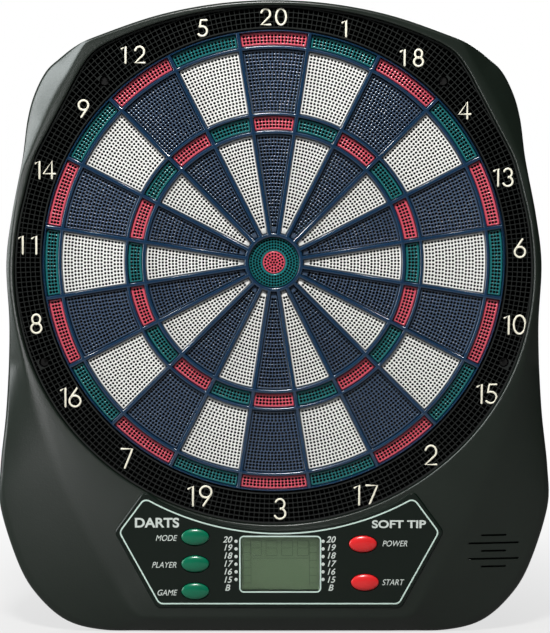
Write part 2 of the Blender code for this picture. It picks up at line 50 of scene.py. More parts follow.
# Target.
RING_WALLS = ((21.7, 25.2), (109.2, 112.6), (124.8, 127.6), (181.0, 184.0), (195.6, 197.0))
DIVIDER_HALF, CLEARANCE = 1.6, 0.5
SPIDER_BACK, SEGMENT_BACK, SEGMENT_FRONT = 14.2, 12.4, 25.0
BULL_RADIUS, BULL_SPLIT, INNER_BULL_RADIUS = 21.2, 9.9, 9.4
SEGMENT_CHAMFER, BULL_CHAMFER = 0.35, 0.3
INNER_PITCH, GROUP_GAP = 2.87, 0.02
SEGMENT_KINDS = {  # (ring, holes a row in each group from the outside in, rows a group, plain edge)
    "double": (3, (18,), 3, 1.0),
    "single": (2, (17, 16, 15, 14, 13, 12), 3, 0.55),
    "triple": (1, (11,), 3, 1.1),
    "inner": (0, (10, 9, 8, 7, 6, 5, 4, 3, 2), 3, 0.55),
}
HOLE_DEPTH = 4.5
# Dart-tip holes, as (radius where the flat land ends, bore, depth of the countersink).
WHITE_HOLE, DARK_HOLE, BULL_HOLE = (1.24, 1.1, 0.25), (1.3, 1.22, 0.25), (1.12, 1.02, 0.25)
# Rings of holes in the two bull segments, as (radius, holes), all of one width.
INNER_BULL_RINGS = ((2.55, 6), (5.05, 12), (7.55, 18))
OUTER_BULL_RINGS = ((12.3, 32), (14.75, 38), (17.2, 44), (19.65, 50))
BULL_RING_WIDTH = 2.4
# The flange of the web that stands on the board.
SKIRT_OUTER, SKIRT_INNER, SKIRT_TOP, SKIRT_FOOT = 203.4, 199.2, 16.7, 8.3

# Housing outlines, right half from the top down, as (x, z).
FACE, WALL, SKIRT_BACK = 30.0, 2.5, 0.6
LEDGE_RADIUS, LEDGE_BACK, LEDGE_FRONT = 204.0, 14.1, 16.6
TOP_ARC_RADIUS, TOP_ARC_CENTRE = 386.0, -164.0
OPENING_RADIUS, OPENING_SAG, OPENING_TOP, OPENING_TOP_ARC = 219.8, 6.0, 217.6, 330.0
SILHOUETTE = (
    (168, 183.5), (181.5, 173.8), (193.8, 162.6), (204, 143), (210, 121), (214.3, 85), (223.3, 39.4),
    (228.4, 0), (226.6, -50), (228.5, -95), (231.3, -133.5), (236.4, -178), (236.6, -213), (221, -263.6),
    (204, -291.4), (180, -312), (149.3, -320), (110, -320.4), (55, -320.4), (0, -320.4),
)
PLATFORM = (
    (156.5, 187), (162, 182), (171.5, 165.5), (190.3, 131.7), (206, 96), (215, 72), (220.5, 40), (224, 10),
    (224.5, -20), (219.5, -57), (209, -105), (191.5, -157.5), (173, -205.5), (139, -271), (121, -303),
    (102, -307.5), (70, -307.5), (35, -307.5), (0, -307.5),
)
OPENING = (
    (148, 181.9), (156.4, 174.4), (164.8, 162.2), (172.8, 147.5), (189.7, 115.7), (203, 90), (209.5, 69),
)

# Control panel.
PANEL_X, PANEL_FRONT = 4.4, 31.5
WINDOW_CENTRE, WINDOW_SIZE = (5.4, -259.6), (68.0, 47.0)
BUTTON_HALF = (11.85, 7.15)
BUTTONS = {
    "button_mode": (-67.8, -235.9), "button_player": (-67.8, -259.3), "button_game": (-67.8, -283.1),
    "button_power": (76.5, -242.0), "button_start": (78.3, -275.5),
}
SPEAKER, SLOT_PITCH, SLOT_HEIGHT, SLOT_LENGTHS = (189.5, -249.0), 6.9, 1.7, (22, 44.5, 22, 44.5, 22)


# Plane geometry.


def polar(turn, radius):
    return radius * math.sin(math.radians(turn)), radius * math.cos(math.radians(turn))


def opening_radius(turn):
    """The opening is a circle at the sides that widens towards the foot of the board."""
    step = min(1.0, max(0.0, (turn - 70) / 60))
    return OPENING_RADIUS + OPENING_SAG * step**2 * (3 - 2 * step)


def arc_top(radius, centre, xs):
    return [(x, centre + math.sqrt(radius**2 - x**2)) for x in xs]


def smooth_half(points, steps=8):
    """A Catmull-Rom curve through the points of a right half, mirrored at both ends."""
    points = [(-points[1][0], points[1][1]), *points, (-points[-2][0], points[-2][1])]
    curve = []
    for before, start, end, after in zip(points, points[1:], points[2:], points[3:]):
        for step in range(steps):
            t = step / steps
            curve.append(
                tuple(
                    b + t * (c - a + t * (2 * a - 5 * b + 4 * c - d + t * (3 * b - a - 3 * c + d))) / 2
                    for a, b, c, d in zip(before, start, end, after)
                )
            )
    return [*curve, points[-2]]


def radius_at(half, turn):
    """How far a right-half outline is from the bull axis at a turn."""
    turn = turn % 360
    turn = min(turn, 360 - turn)
    across, up = polar(turn, 1.0)
    for (x0, z0), (x1, z1) in zip(half, half[1:]):
        side0, side1 = across * z0 - up * x0, across * z1 - up * x1
        if side0 >= -1e-9 and side1 <= 1e-9 and side0 != side1:
            t = side0 / (side0 - side1)
            return (x0 + t * (x1 - x0)) * across + (z0 + t * (z1 - z0)) * up
    return math.hypot(*half[-1])


def rounded(corners, radius, steps=6):
    """A polygon whose corners are rounded by arcs of one radius."""
    outline = []
    for before, corner, after in zip(corners[-1:] + corners[:-1], corners, corners[1:] + corners[:1]):
        corner = Vector(corner)
        back, ahead = (Vector(before) - corner).normalized(), (Vector(after) - corner).normalized()
        half = back.angle(ahead) / 2
        centre = corner + (back + ahead).normalized() * radius / math.sin(half)
        start = (corner + back * radius / math.tan(half) - centre).normalized()
        end = (corner + ahead * radius / math.tan(half) - centre).normalized()
        outline += [tuple(centre + start.slerp(end, step / steps) * radius) for step in range(steps + 1)]
    return outline


def rectangle(centre, size):
    (x, z), (a, b) = centre, (size[0] / 2, size[1] / 2)
    return [(x - a, z - b), (x + a, z - b), (x + a, z + b), (x - a, z + b)]


def ellipse(centre, half, sides):
    turns = [2 * math.pi * i / sides for i in range(sides)]
    return [(centre[0] + half[0] * math.cos(t), centre[1] + half[1] * math.sin(t)) for t in turns]


def offset_outline(outline, distance):
    """A closed outline moved outwards by a distance, with mitred corners."""
    area = sum(a[0] * b[1] - b[0] * a[1] for a, b in zip(outline, outline[1:] + outline[:1]))
    way = 1 if area > 0 else -1
    moved = []
    for before, here, after in zip(outline[-1:] + outline[:-1], outline, outline[1:] + outline[:1]):
        first = Vector((here[0] - before[0], here[1] - before[1])).normalized()
        second = Vector((after[0] - here[0], after[1] - here[1])).normalized()
        normal = Vector((first.y + second.y, -first.x - second.x)).normalized() * way
        stretch = max(0.5, normal.dot(Vector((second.y, -second.x)) * way))
        moved.append((here[0] + normal.x * distance / stretch, here[1] + normal.y * distance / stretch))
    return moved


# Meshes.


class Form:
    """Points and faces gathered for one mesh."""

    def __init__(self):
        self.points, self.faces, self.dark = [], [], []

    def add(self, points):
        start = len(self.points)
        self.points += points
        return list(range(start, len(self.points)))

    def level(self, outline, depth):
        return self.add([(x, depth, z) for x, z in outline])

    def face(self, *corners, dark=False):
        self.faces.append(corners)
        self.dark.append(dark)

    def strip(self, one, other, closed=False, dark=False):
        """Quads between two rows of as many points."""
        count = len(one)
        for i in range(count if closed else count - 1):
            j = (i + 1) % count
            self.face(one[i], one[j], other[j], other[i], dark=dark)

    def zipper(self, one, other, closed=False):
        """Triangles between two rows of different numbers of points."""
        if closed:
            one, other = [*one, one[0]], [*other, other[0]]
        i = j = 0
        last, end = len(one) - 1, len(other) - 1
        while i < last or j < end:
            if j == end or (i < last and (i + 1) * end <= (j + 1) * last):
                self.face(one[i], one[i + 1], other[j])
                i += 1
            else:
                self.face(one[i], other[j + 1], other[j])
                j += 1

    def loft(self, loops, closed=False, dark=False):
        """A closed body through loops: a ring of loops, or one capped at both ends."""
        rows = [self.add(loop) for loop in loops]
        for one, other in zip(rows, rows[1:] + (rows[:1] if closed else [])):
            self.strip(one, other, closed=True, dark=dark)
        if not closed:
            self.face(*rows[0], dark=dark)
            self.face(*rows[-1], dark=dark)

    def mesh(self, name, smooth=40):
        form = bmesh.new()
        verts = [form.verts.new((x * MM, -depth * MM, z * MM)) for x, depth, z in self.points]
        for corners, dark in zip(self.faces, self.dark):
            face = form.faces.new([verts[i] for i in corners])
            # Faces marked shaded take the second material slot, which holds the painted shade.
            face.material_index = int(dark)
        bmesh.ops.recalc_face_normals(form, faces=form.faces)
        mesh = bpy.data.meshes.new(name)
        form.to_mesh(mesh)
        form.free()
        mesh.shade_smooth()
        mesh.set_sharp_from_angle(angle=math.radians(smooth))
        return mesh


def place(name, mesh, materials, body, replaced=()):
    """A piece of the object, on its body."""
    piece = bpy.data.objects.new(name, mesh)
    bpy.context.scene.collection.objects.link(piece)
    for finish in materials:
        mesh.materials.append(finish)
    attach(piece, body)
    if replaced:
        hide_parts(*replaced)
    return piece


def apply_modifiers(piece):
    """Bakes a piece's modifiers into its mesh."""
    evaluated = piece.evaluated_get(bpy.context.evaluated_depsgraph_get())
    mesh = bpy.data.meshes.new_from_object(evaluated)
    piece.modifiers.clear()
    piece.data = mesh


def bevel(piece, width, segments=2, angle=40):
    modifier = piece.modifiers.new("bevel", "BEVEL")
    modifier.width = width * MM
    modifier.segments = segments
    modifier.limit_method = "ANGLE"
    modifier.angle_limit = math.radians(angle)
    modifier.harden_normals = True


def cut(piece, tool_form):
    """Cuts a form out of a piece."""
    tool = bpy.data.objects.new("tool", tool_form.mesh("tool"))
    bpy.context.scene.collection.objects.link(tool)
    modifier = piece.modifiers.new("cut", "BOOLEAN")
    modifier.operation = "DIFFERENCE"
    modifier.solver = "EXACT"
    modifier.object = tool
    apply_modifiers(piece)
    piece.data.set_sharp_from_angle(angle=math.radians(30))
    bpy.data.objects.remove(tool, do_unlink=True)


def round_end(step):
    """How wide a line's round end still is at a step of the way to its tip."""
    return math.sqrt(max(0.01, 1 - step * step))


def swept(form, path, half_width, half_height, depth, sides=8, closed=False):
    """A flat-bottomed raised line along a path in the plane of the face, with round ends."""
    points = [Vector(point) for point in path]
    if not closed:
        first, last = (points[0] - points[1]).normalized(), (points[-1] - points[-2]).normalized()
        steps = (0.35, 0.7, 0.92, 1.0)
        head = [(points[0] + first * half_width * step, round_end(step)) for step in reversed(steps)]
        tail = [(points[-1] + last * half_width * step, round_end(step)) for step in steps]
        stations = [*head, *((point, 1.0) for point in points), *tail]
    else:
        stations = [(point, 1.0) for point in points]
    loops = []
    for i, (point, scale) in enumerate(stations):
        if closed:
            along = stations[(i + 1) % len(stations)][0] - stations[i - 1][0]
        else:
            along = stations[min(i + 1, len(stations) - 1)][0] - stations[max(i - 1, 0)][0]
        along.normalize()
        across = Vector((along.y, -along.x)) * half_width * scale
        loop = []
        for k in range(sides):
            turn = 2 * math.pi * k / sides
            spot = point + across * math.cos(turn)
            loop.append((spot.x, depth + half_height * scale * math.sin(turn), spot.y))
        loops.append(loop)
    form.loft(loops, closed)


# Materials.


def material(name, colour, roughness, metallic=0.0, specular=0.5):
    made = bpy.data.materials.new(name)
    made.use_nodes = True
    made.diffuse_color = (*colour, 1)
    shader = made.node_tree.nodes["Principled BSDF"]
    shader.inputs["Base Color"].default_value = (*colour, 1)
    shader.inputs["Roughness"].default_value = roughness
    shader.inputs["Metallic"].default_value = metallic
    shader.inputs["Specular IOR Level"].default_value = specular
    return made


def node(tree, kind, **inputs):
    made = tree.nodes.new(kind)
    for name, value in inputs.items():
        made.inputs[name.replace("_", " ")].default_value = value
    return made


def join(source, outlet, target, inlet):
    source.id_data.links.new(source.outputs[outlet], target.inputs[inlet])


def moulded(name, colour, roughness, grain=0.0, grain_scale=900.0, mottle=0.12, wear=0.1, **rest):
    """Moulded plastic: faint mottling, uneven gloss and, where asked, a fine spark-eroded grain."""
    made = material(name, colour, roughness, **rest)
    tree = made.node_tree
    shader = tree.nodes["Principled BSDF"]
    place_in = tree.nodes.new("ShaderNodeTexCoord")
    broad = node(tree, "ShaderNodeTexNoise", Scale=28.0, Detail=4.0, Roughness=0.6)
    join(place_in, "Object", broad, "Vector")
    mix = tree.nodes.new("ShaderNodeMix")
    mix.data_type = "RGBA"
    mix.inputs["A"].default_value = (*[c * (1 - mottle) for c in colour], 1)
    mix.inputs["B"].default_value = (*[min(1, c * (1 + mottle)) for c in colour], 1)
    join(broad, "Fac", mix, "Factor")
    join(mix, "Result", shader, "Base Color")
    gloss = tree.nodes.new("ShaderNodeMapRange")
    gloss.inputs["To Min"].default_value = roughness * (1 - wear)
    gloss.inputs["To Max"].default_value = min(1, roughness * (1 + wear))
    join(broad, "Fac", gloss, "Value")
    join(gloss, "Result", shader, "Roughness")
    if grain:
        fine = node(tree, "ShaderNodeTexNoise", Scale=grain_scale, Detail=2.0, Roughness=0.5)
        join(place_in, "Object", fine, "Vector")
        bump = node(tree, "ShaderNodeBump", Strength=grain, Distance=0.0002)
        join(fine, "Fac", bump, "Height")
        join(bump, "Normal", shader, "Normal")
    return made


REAR = moulded("rear_cover_black", (0.035, 0.038, 0.036), 0.5, grain=0.4, grain_scale=500.0, mottle=0.2)
HOUSING = moulded(
    "housing_black", (0.0035, 0.006, 0.004), 0.3, specular=0.36, grain=0.35, grain_scale=700.0, mottle=0.15
)
CATCH = moulded("catch_ring_black", (0.01, 0.012, 0.011), 0.35, mottle=0.1, specular=0.5)
SPIDER = moulded("spider_blue", (0.003, 0.022, 0.056), 0.22, mottle=0.25, specular=0.8)
NAVY = moulded("segment_navy", (0.04, 0.066, 0.113), 0.2, specular=0.85)
WHITE = moulded("segment_white", (0.76, 0.765, 0.745), 0.38, mottle=0.03)
RED = moulded("segment_red", (0.6, 0.082, 0.122), 0.2, specular=0.8)
GREEN = moulded("segment_green", (0.009, 0.13, 0.137), 0.2, specular=0.8)
# Painted shade: a near-black finish put on hole bores and floors, the catch ring's cell floors and rib
# sides, and the screw wells, for the shade deep in them.
PAINTED_SHADE = material("hole_shadow", (0.002, 0.002, 0.003), 0.8, specular=0.2)
PANEL = moulded("panel_black_green", (0.002, 0.006, 0.0035), 0.3, specular=0.3, grain=0.12, mottle=0.1)
MINT = moulded("panel_line", (0.52, 0.66, 0.6), 0.5, mottle=0.05)
LABEL = moulded("panel_lettering", (0.55, 0.6, 0.57), 0.5, mottle=0.05)
NUMERAL = moulded("numeral_cream", (0.8, 0.77, 0.64), 0.45, mottle=0.04)
BUTTON_GREEN = moulded("button_green", (0.0, 0.12, 0.06), 0.26, mottle=0.06)
BUTTON_RED = moulded("button_red", (0.62, 0.018, 0.02), 0.26, mottle=0.06)
STEEL = moulded("zinc_steel", (0.45, 0.45, 0.44), 0.32, metallic=1.0)
# A blackened screw, its colour darkened further to near black and non-metal as painted shade, the shade at
# the bottom of its well.
SCREW_BLACK_AND_SHADE = moulded("blackened_screw_and_shade", (0.003, 0.003, 0.003), 0.5, specular=0.3)


# Target.


def side_turn(centre, radius, side, way):
    """The turn at which a line that runs a fixed distance off a divider's middle crosses a radius."""
    return centre + way * (STEP / 2 - math.degrees(math.asin(side / radius)))


def punch(form, border, centre, depth, hole):
    """A blind hole inside a border of eight points, narrowing a little towards its floor; bore and floor get
    painted shade.
    """
    rims = []
    land, bore, sink = hole
    for radius, down in ((land, 0), (bore, sink), (bore * 0.92, HOLE_DEPTH)):
        rim = []
        for index in border:
            x, _, z = form.points[index]
            away = Vector((x - centre[0], z - centre[1])).normalized() * radius
            rim.append((centre[0] + away.x, depth - down, centre[1] + away.y))
        rims.append(form.add(rim))
    form.strip(border, rims[0], closed=True)
    form.strip(rims[0], rims[1], closed=True)
    form.strip(rims[1], rims[2], closed=True, dark=True)
    form.face(*rims[2], dark=True)


def hole_rows(form, lines, depth, hole):
    """Holes in a strip of cells between rows of points; each hole takes three rows and three columns."""
    for low, middle, high in zip(lines[0::2], lines[1::2], lines[2::2]):
        for column in range(0, len(low) - 2, 2):
            a, b, c = column, column + 1, column + 2
            border = [low[a], low[b], low[c], middle[c], high[c], high[b], high[a], middle[a]]
            x, _, z = form.points[middle[b]]
            punch(form, border, (x, z), depth, hole)


def finish_block(form, border, chamfer, back):
    """Turns an open top into a block: a small chamfer, straight sides and a back."""
    outline = [(form.points[i][0], form.points[i][2]) for i in border]
    wide = offset_outline(outline, chamfer)
    shoulder = form.level(wide, form.points[border[0]][1] - chamfer)
    foot = form.level(wide, back)
    form.strip(border, shoulder, closed=True)
    form.strip(shoulder, foot, closed=True)
    form.face(*foot)


def segment_mesh(kind, hole):
    """One scoring segment of the sector at the top, full of holes for dart tips."""
    ring, groups, rows, edge = SEGMENT_KINDS[kind]
    low = RING_WALLS[ring][1] + CLEARANCE + SEGMENT_CHAMFER
    high = RING_WALLS[ring + 1][0] - CLEARANCE - SEGMENT_CHAMFER
    side = DIVIDER_HALF + CLEARANCE + SEGMENT_CHAMFER
    form = Form()

    def line(radius, count, inset):
        ends = [side_turn(0, radius, side + inset, way) for way in (-1, 1)]
        spots = [polar(ends[0] + (ends[1] - ends[0]) * i / count, radius) for i in range(count + 1)]
        return form.level(spots, SEGMENT_FRONT)

    pitch = INNER_PITCH if kind == "inner" else (high - low - 2 * edge) / (rows * len(groups))
    outer = line(high, 2 * groups[0], 0)
    inset = 0.25 if kind in ("single", "inner") else 0.5
    left, right = [], []
    previous = outer
    radius = high - edge
    for count in groups:
        lines = [line(radius - pitch * i / 2, 2 * count, inset) for i in range(2 * rows + 1)]
        form.zipper(previous, lines[0])
        hole_rows(form, lines, SEGMENT_FRONT, hole)
        left += [row[0] for row in lines]
        right += [row[-1] for row in lines]
        previous = lines[-1]
        radius -= rows * pitch + GROUP_GAP
    inner = line(low, 4 if kind == "inner" else 2 * groups[-1], 0)
    form.zipper(previous, inner)
    # The plain strips along both sides run beside every row.
    edges = []
    for ends, way in ((left, -1), (right, 1)):
        strip = []
        for index in ends[1:-1]:
            x, _, z = form.points[index]
            distance = math.hypot(x, z)
            strip.append(polar(side_turn(0, distance, side, way), distance))
        made = form.level(strip, SEGMENT_FRONT)
        corner_out, corner_in = (outer[0], inner[0]) if way < 0 else (outer[-1], inner[-1])
        form.strip([corner_out, *made, corner_in], ends)
        edges.append(made)
    border = [*outer, *edges[1], *reversed(inner), *reversed(edges[0])]
    finish_block(form, border, SEGMENT_CHAMFER, SEGMENT_BACK)
    return form.mesh(f"segment_{kind}", smooth=80)


def ringed_holes(form, rings, first):
    """Rings of holes about the bull axis, joined to a first circle of points; returns the last circle."""
    previous = first
    for radius, count in rings:
        lines = []
        for i in range(3):
            turns = [360 * k / (2 * count) for k in range(2 * count)]
            reach = radius + BULL_RING_WIDTH * (i - 1) / 2
            lines.append(form.level([polar(turn, reach) for turn in turns], SEGMENT_FRONT))
        form.zipper(previous, lines[0], closed=True)
        hole_rows(form, [[*row, row[0]] for row in lines], SEGMENT_FRONT, BULL_HOLE)
        previous = lines[2]
    return previous


def circle(form, radius, depth, count):
    return form.level([polar(360 * k / count, radius) for k in range(count)], depth)


def build_bull():
    """Two round segments: a plug with a flange behind it, and the ring that the plug passes through."""
    shoulder = SEGMENT_FRONT - BULL_CHAMFER
    plug = Form()
    centre = circle(plug, BULL_RING_WIDTH / 2, SEGMENT_FRONT, 8)
    punch(plug, centre, (0, 0), SEGMENT_FRONT, BULL_HOLE)
    last = ringed_holes(plug, INNER_BULL_RINGS, centre)
    rim = circle(plug, INNER_BULL_RADIUS - BULL_CHAMFER, SEGMENT_FRONT, 36)
    plug.zipper(last, rim, closed=True)
    profile = ((INNER_BULL_RADIUS, shoulder), (INNER_BULL_RADIUS, 14.4), (12.4, 14.4), (12.4, SEGMENT_BACK))
    rows = [circle(plug, radius, depth, 36) for radius, depth in profile]
    for one, other in zip([rim, *rows], rows):
        plug.strip(one, other, closed=True)
    plug.face(*rows[-1])
    mesh = plug.mesh("bull_inner", 55)
    # The second slot is the painted shade inside the holes.
    place("bull_inner_segment", mesh, [RED, PAINTED_SHADE], "bull_inner", ["bull_inner"])
    ring = Form()
    start = circle(ring, BULL_SPLIT + BULL_CHAMFER, SEGMENT_FRONT, 48)
    last = ringed_holes(ring, OUTER_BULL_RINGS, start)
    rim = circle(ring, BULL_RADIUS - BULL_CHAMFER, SEGMENT_FRONT, 60)
    ring.zipper(last, rim, closed=True)
    profile = ((BULL_RADIUS, shoulder), (BULL_RADIUS, 13.8), (24.6, 13.8), (24.6, SEGMENT_BACK))
    rows = [circle(ring, radius, depth, 60) for radius, depth in profile]
    for one, other in zip([rim, *rows], rows):
        ring.strip(one, other, closed=True)
    profile = ((13.0, SEGMENT_BACK), (13.0, 16.5), (BULL_SPLIT, 16.5), (BULL_SPLIT, shoulder))
    inner = [circle(ring, radius, depth, 48) for radius, depth in profile]
    ring.zipper(rows[-1], inner[0], closed=True)
    for one, other in zip(inner, [*inner[1:], start]):
        ring.strip(one, other, closed=True)
    mesh = ring.mesh("bull_outer", 55)
    # The second slot is the painted shade inside the holes.
    place("bull_outer_segment", mesh, [GREEN, PAINTED_SHADE], "bull_outer", ["bull_outer"])


def build_segments():
    shapes = {}
    for kind in SEGMENT_KINDS:
        narrow = kind in ("double", "triple")
        for light, hole in enumerate((DARK_HOLE,) if narrow else (DARK_HOLE, WHITE_HOLE)):
            shapes[kind, light] = segment_mesh(kind, hole)
            shapes[kind, light].materials.append(NAVY)
            shapes[kind, light].materials.append(PAINTED_SHADE)
        shapes.setdefault((kind, 1), shapes[kind, 0])
    for index, number in enumerate(NUMBERS):
        light = index % 2
        for kind in SEGMENT_KINDS:
            mesh = shapes[kind, light]
            if kind in ("double", "triple"):
                finish, slot = (GREEN, "segment_green") if light else (RED, "segment_red")
            else:
                finish, slot = (WHITE, "segment_white") if light else (NAVY, "segment_navy")
            piece = bpy.data.objects.new(f"segment_{kind}_{number}", mesh)
            bpy.context.scene.collection.objects.link(piece)
            piece.matrix_world = Matrix.Rotation(math.radians(index * STEP), 4, "Y")
            # The second slot is the painted shade inside the holes.
            for spot, chosen in enumerate((finish, PAINTED_SHADE)):
                piece.material_slots[spot].link = "OBJECT"
                piece.material_slots[spot].material = chosen
            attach(piece, f"sector_{number}")
            if kind == "single":
                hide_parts(f"sector_{number}")


CREST = ((0.85, 28.0), (0.38, 27.75), (0.1, 27.2), (0.0, 26.2))  # (set in from the wall's side, depth)


def build_spider():
    """The web: ring walls and dividers with rounded crests, and the skirt that stands on the board."""
    radii = [radius for wall in RING_WALLS for radius in wall]
    last, parts = len(radii) - 1, 12
    form = Form()

    def grid(inset, depth, foot=False):
        """Points where the walls' sides meet, in rows by radius; the crests are set in."""
        rows = []
        for k, radius in enumerate(radii):
            thick = radii[k | 1] - radii[k & ~1]
            moved = radius + min(inset, 0.4 * thick) * (-1 if k % 2 else 1)
            spots = []
            for index in range(len(NUMBERS)):
                start, end = (side_turn(index * STEP, moved, DIVIDER_HALF - inset, way) for way in (-1, 1))
                wide = SKIRT_INNER if foot and k == last else moved
                spots += [polar(start + (end - start) * i / parts, wide) for i in range(parts + 1)]
            rows.append(form.level(spots, depth))
        return rows

    levels = [grid(*level) for level in CREST] + [grid(0, SPIDER_BACK, True)]
    count = len(levels[0][0])

    def kept(band, column):
        return 0 <= band < last and (band % 2 == 0 or column % (parts + 1) == parts)

    for band in range(last):
        for column in range(count):
            if not kept(band, column):
                continue
            nxt = (column + 1) % count
            ring = ((band, column), (band, nxt), (band + 1, nxt), (band + 1, column))
            for level in (levels[0], levels[-1]):
                form.face(*[level[r][c] for r, c in ring])
            neighbours = (
                kept(band - 1, column), kept(band, nxt),
                band == last - 1 or kept(band + 1, column), kept(band, (column - 1) % count),
            )
            for joined, (r0, c0), (r1, c1) in zip(neighbours, ring, ring[1:] + ring[:1]):
                if not joined:
                    for high, low in zip(levels, levels[1:]):
                        form.face(high[r0][c0], high[r1][c1], low[r1][c1], low[r0][c0])
    rim = levels[-2][-1]
    outline = [(form.points[i][0], form.points[i][2]) for i in rim]
    rows = [level[-1] for level in levels[:-1]]
    side = radii[-1]
    skirt = ((SKIRT_OUTER, SKIRT_TOP), (SKIRT_OUTER, SKIRT_FOOT), (SKIRT_INNER, SKIRT_FOOT))
    for radius, depth in ((side, SKIRT_TOP), *skirt):
        rows.append(form.level([(x * radius / side, z * radius / side) for x, z in outline], depth))
    rows.append(levels[-1][-1])
    for one, other in zip(rows, rows[1:]):
        form.strip(one, other, closed=True)
    place("spider_web", form.mesh("spider", 50), [SPIDER], "board", ["spider"])


# Catch ring.

CATCH_BACK, CATCH_FLOOR, CATCH_WALL, CATCH_RIM = 17.0, 19.6, 25.6, 26.5
RIB_HALF, ARC_HALF, CELL = 0.27, 0.27, 4.15
SCREWS = ((43.0, 210.6), (113.5, 214.8), (246.5, 214.8), (317.0, 210.6))  # (turn, radius)
CATCH_INNER, RIBS, ARCS, CATCH_EDGE = 198.6, 320, 12, 1.3
WELL_RADIUS, WELL_FLOOR, SCREW_BORE = 4.3, 19.4, 2.0
NUMBER_RADIUS, NUMBER_HEIGHT = 210.2, 17.7
# How far some numbers stand off the regular places, as (x, z).
NUDGES = {
    12: (-3.6, 1.2), 18: (0.6, 2.4), 9: (1.2, -3.0), 5: (0.5, -1.5),
    13: (0, -2.2), 15: (2.2, 2.2), 17: (3.6, -0.4), 7: (1, -1),
}


def number_place(index):
    """The numbers stand a little above their sectors' middles, and those at the foot are larger."""
    turn = index * STEP
    across, up = polar(turn, 1.0)
    turn += 0.7 * up - 3.7 * across - 0.2 - 0.6 * (up * up - across * across)
    x, z = polar(turn, NUMBER_RADIUS - 2.3 * up - 3.6 * up * across)
    over, above = NUDGES.get(NUMBERS[index], (0, 0))
    return (x + over, z + above), NUMBER_HEIGHT - 2.1 * up


def build_catch_ring():
    """A black ring filled by a fine lattice that catches stray darts, with wells for its screws."""
    form = Form()
    turns, solid_columns = [], []
    for rib in range(RIBS):
        middle = 360 * rib / RIBS
        half = math.degrees(RIB_HALF / NUMBER_RADIUS)
        turns += [middle - half, middle + half]
        solid_columns += [True, False]
    edges = [radius_at(opening, turn) - 0.5 for turn in turns]
    start = CATCH_INNER + 1.1
    radii = [CATCH_INNER, start]
    for k in range(1, ARCS + 1):
        middle = start + CELL * k
        radii += [middle - ARC_HALF, middle + ARC_HALF]
    grid = [[min(radius, edge - CATCH_EDGE) for edge in edges] for radius in radii]
    grid.append([edge - CATCH_EDGE for edge in edges])
    grid.append(edges)
    rows = len(grid)
    columns = len(turns)
    wells = [polar(turn, radius) for turn, radius in SCREWS]

    def spot(row, column):
        return polar(turns[column % columns], grid[row][column % columns])

    def height(row, column):
        """The top of one cell of the grid, or None where it has no width."""
        if row in (0, rows - 2):
            return CATCH_RIM
        gap = min(grid[row + 1][c % columns] - grid[row][c % columns] for c in (column, column + 1))
        if gap < 0.02:
            return None
        if row % 2 == 0 or solid_columns[column % columns]:
            return CATCH_WALL
        corners = [spot(row, column), spot(row + 1, column + 1)]
        x, z = (sum(c[k] for c in corners) / 2 for k in (0, 1))
        if any(math.hypot(x - wx, z - wz) < WELL_RADIUS + 0.3 for wx, wz in wells):
            return CATCH_WALL
        return CATCH_FLOOR

    made = {}

    def corner(row, column, depth):
        x, z = spot(row, column)
        key = (round(x, 4), round(z, 4), depth)
        if key not in made:
            made[key] = form.add([(x, depth, z)])[0]
        return made[key]

    def quad(*corners, dark=False):
        kept = [c for i, c in enumerate(corners) if c != corners[i - 1]]
        if len(set(kept)) >= 3:
            form.face(*kept, dark=dark)

    tops = [[height(row, column) for column in range(columns)] for row in range(rows - 1)]
    for row in range(rows - 1):
        for column in range(columns):
            top = tops[row][column]
            if top is None:
                continue
            ring = [(row, column), (row, column + 1), (row + 1, column + 1), (row + 1, column)]
            # Cell floors and the rib sides between different heights get painted shade, for the shade deep
            # in the lattice.
            quad(*[corner(r, c, top) for r, c in ring], dark=top == CATCH_FLOOR)
            beside = tops[row][(column + 1) % columns]
            if beside is not None and beside != top:
                quad(corner(row, column + 1, top), corner(row + 1, column + 1, top),
                     corner(row + 1, column + 1, beside), corner(row, column + 1, beside), dark=True)
            further = [tops[r][column] for r in range(row + 1, rows - 1)]
            above = next((found for found in further if found is not None), None)
            if above is not None and above != top:
                quad(corner(row + 1, column, top), corner(row + 1, column + 1, top),
                     corner(row + 1, column + 1, above), corner(row + 1, column, above), dark=True)
    for row in (0, rows - 1):
        for column in range(columns):
            quad(corner(row, column, CATCH_RIM), corner(row, column + 1, CATCH_RIM),
                 corner(row, column + 1, CATCH_BACK), corner(row, column, CATCH_BACK))
    for column in range(columns):
        quad(corner(0, column, CATCH_BACK), corner(0, column + 1, CATCH_BACK),
             corner(rows - 1, column + 1, CATCH_BACK), corner(rows - 1, column, CATCH_BACK))
    mesh = form.mesh("catch_ring", 30)
    ring = place("catch_ring_lattice", mesh, [CATCH, PAINTED_SHADE], "board", ["catch_ring"])
    drill = Form()
    profile = (
        (SCREW_BORE, CATCH_BACK - 1), (SCREW_BORE, WELL_FLOOR), (WELL_RADIUS, WELL_FLOOR), (WELL_RADIUS, 28),
    )
    for well in wells:
        loops = []
        for radius, depth in profile:
            loops.append([(x, depth, z) for x, z in ellipse(well, (radius, radius), 28)])
        # The drill's faces give the wells' walls and floors painted shade.
        drill.loft(loops, dark=True)
    cut(ring, drill)


# Numbers on the catch ring.


def arc(cx, cz, rx, rz, start, end, steps=14):
    """Points on an ellipse, anticlockwise; angles in degrees from +x."""
    turns = [math.radians(start + (end - start) * i / steps) for i in range(steps + 1)]
    return [(cx + rx * math.cos(t), cz + rz * math.sin(t)) for t in turns]


